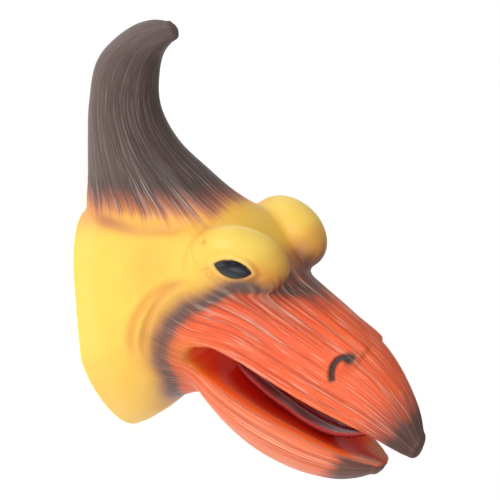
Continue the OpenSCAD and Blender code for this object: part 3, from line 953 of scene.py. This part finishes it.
def eye_material():
    mat, tree, shader = shader_of("eye_black")
    home = put(tree, "ShaderNodeAttribute", attribute_name="home").outputs["Vector"]
    cloud_in = grain(tree, home, (0.5, 0.5, 0.5), 3)
    c = blend_colour(tree, remap(tree, cloud_in, 0.35, 0.7), (0.006, 0.006, 0.007, 1), (0.028, 0.024, 0.024, 1))
    tree.links.new(c, shader.inputs["Base Color"])
    tree.links.new(remap(tree, cloud_in, 0.3, 0.7, 0.10, 0.2), shader.inputs["Roughness"])
    return mat


def lens_material():
    mat, tree, shader = shader_of("lens_grey")
    home = put(tree, "ShaderNodeAttribute", attribute_name="home").outputs["Vector"]
    parts = put(tree, "ShaderNodeSeparateXYZ", {0: home})
    # The lens is lighter towards its lower side: a painted reflection of the light, with speckles through it.
    low = maths(tree, "SUBTRACT", maths(tree, "MULTIPLY", parts.outputs[0], 0.35), parts.outputs[1])
    cloud_in = grain(tree, home, (0.9, 0.9, 0.9), 3)
    share = maths(tree, "ADD", low, maths(tree, "MULTIPLY", cloud_in, 2.2))
    c = blend_colour(tree, remap(tree, share, -0.6, 3.6), (0.012, 0.013, 0.016, 1), (0.032, 0.038, 0.044, 1))
    tree.links.new(c, shader.inputs["Base Color"])
    tree.links.new(remap(tree, cloud_in, 0.3, 0.7, 0.24, 0.4), shader.inputs["Roughness"])
    shader.inputs["Specular IOR Level"].default_value = 0.3
    return mat


eye_black, lens_grey = eye_material(), lens_material()
for side, word in ((-1, "right"), (1, "left")):
    eye = almond("Eye_" + word, side, 1.03, -0.55, 1.3, 2.2, eye_black)
    settle(eye, ["eye_" + word])
    lens = almond("Lens_" + word, side, 0.72, 0.18, 0.75, 0.3, lens_grey, shift=(0.3, -0.35))
    settle(lens, ["lens_" + word])


# ---------------------------------------------------------------- tongue
# Station: [forward, height of the middle, half thickness, half width, curl of the sides]
TONGUE = [[12, -8.6, 1.6, 5, 1.5], [17, -9.6, 2.4, 7, 2.4], [31, -11.2, 2.8, 9, 3], [45, -12.4, 2.8, 9.4, 3],
          [55, -12.6, 2.8, 9.4, 3], [67, -11, 2.6, 8.4, 3], [75, -7.8, 2.1, 6.4, 2.8], [80, -4.6, 1.6, 4.2, 2.2],
          [83, -2.4, 0.9, 1.8, 1.2]]


def tongue_piece():
    """The tongue, closed at both ends, with curled sides and a groove along its top."""
    rows, _ = resample(TONGUE, 120)
    around = 72
    phi = np.arange(around) * 2 * math.pi / around
    f0 = rows[:, :1]
    across = np.sign(np.cos(phi)) * np.abs(np.cos(phi)) ** 0.8
    wave = 1 + 0.12 * np.sin(f0 / 6.3 + 0.6) + 0.06 * np.sin(f0 / 3.1)
    xx = rows[:, 3:4] * across + 0.35 * np.sin(f0 / 9 + 1) * across**2
    edge = np.abs(across) ** 2.4
    thick = rows[:, 2:3] * (1 - 0.45 * edge) * np.sin(phi)
    thick = np.where(thick > 0, thick, thick * 1.15)
    zz = rows[:, 1:2] + rows[:, 4:5] * wave * edge + thick - 0.7 * bell(xx, 1.2) * (np.sin(phi) > 0)
    pts = np.stack([xx, np.broadcast_to(f0, xx.shape), zz], 2).reshape(-1, 3)
    n = len(rows)
    faces = []
    for j in range(n - 1):
        for i in range(around):
            a, b = j * around + i, j * around + (i + 1) % around
            faces.append([b, a, a + around, b + around])
    ends = np.stack([pts[:around].mean(0), pts[-around:].mean(0)])
    ends[1, 1] += 0.9
    pts = np.concatenate([pts, ends])
    for i in range(around):
        faces.append([n * around, i, (i + 1) % around])
        faces.append([n * around + 1, (n - 1) * around + (i + 1) % around, (n - 1) * around + i])
    obj = new_piece("Tongue", pts, faces, mat=tongue_material())
    attribute(obj.data, "edge", "FLOAT", np.append(np.tile(edge, n), [0, 1]))
    attribute(obj.data, "home", "FLOAT_VECTOR", pts)
    return obj


def tongue_material():
    mat, tree, shader = shader_of("tongue_rubber")
    home = put(tree, "ShaderNodeAttribute", attribute_name="home").outputs["Vector"]
    side = put(tree, "ShaderNodeAttribute", attribute_name="edge").outputs["Fac"]
    strands = grain(tree, home, (0.9, 0.06, 0.9), 3)
    # The curled sides are a lighter red and the top is dark maroon: the tongue's own red, with painted shade on its
    # top where the upper beak covers it.
    c = blend_colour(tree, remap(tree, side, 0.35, 0.95), (0.30, 0.010, 0.014, 1), (0.66, 0.10, 0.09, 1))
    c = blend_colour(tree, maths(tree, "MULTIPLY", remap(tree, strands, 0.5, 0.7), 0.4), c, (0.8, 0.22, 0.2, 1))
    tree.links.new(c, shader.inputs["Base Color"])
    tree.links.new(remap(tree, strands, 0.3, 0.7, 0.2, 0.32), shader.inputs["Roughness"])
    bump = put(tree, "ShaderNodeBump", {"Strength": 0.3, "Distance": 0.0002, "Height": strands})
    tree.links.new(bump.outputs[0], shader.inputs["Normal"])
    shader.inputs["Specular IOR Level"].default_value = 0.25
    return mat


tongue = tongue_piece()
settle(tongue, ["tongue"], bends=True)

# ---------------------------------------------------------------- floor and light
floor_mesh = bpy.data.meshes.new("floor")
FLOOR_HALF, FLOOR_AT = 6, -0.0004
floor_mesh.from_pydata([(x, y, FLOOR_AT) for x, y in ((-FLOOR_HALF, -FLOOR_HALF), (FLOOR_HALF, -FLOOR_HALF),
                                                      (FLOOR_HALF, FLOOR_HALF), (-FLOOR_HALF, FLOOR_HALF))],
                       [], [(0, 1, 2, 3)])
floor = bpy.data.objects.new("floor", floor_mesh)
scene.collection.objects.link(floor)
floor_mat, floor_tree, floor_shader = shader_of("floor")
floor_shader.inputs["Base Color"].default_value = (0.93, 0.93, 0.93, 1)
floor_shader.inputs["Roughness"].default_value = 0.9
floor_shader.inputs["Specular IOR Level"].default_value = 0.0
floor_shader.inputs["Emission Color"].default_value = (1, 1, 1, 1)
floor_shader.inputs["Emission Strength"].default_value = 0.6
floor_mesh.materials.append(floor_mat)

world = bpy.data.worlds.new("studio")
scene.world = world
world.use_nodes = True
sky = world.node_tree.nodes["Background"]
sky.inputs[0].default_value = (1.0, 1.0, 1.0, 1)
sky.inputs[1].default_value = 0.35


def area_light(name, place, size, power):
    """A round soft light, placed right of, above and toward the camera from the point aimed at."""
    light = bpy.data.lights.new(name, "AREA")
    light.shape = "DISK"
    light.size = size
    light.energy = power
    obj = bpy.data.objects.new(name, light)
    scene.collection.objects.link(obj)
    at = AIM + RIGHT * place[0] + UP * place[1] + TOWARD * place[2]
    obj.location = at
    obj.rotation_mode = "QUATERNION"
    obj.rotation_quaternion = (AIM - at).to_track_quat("-Z", "Y")


area_light("key", (-0.25, 0.75, 0.75), 0.55, 4.6)
area_light("fill", (0.05, -0.3, 0.9), 0.6, 3.0)
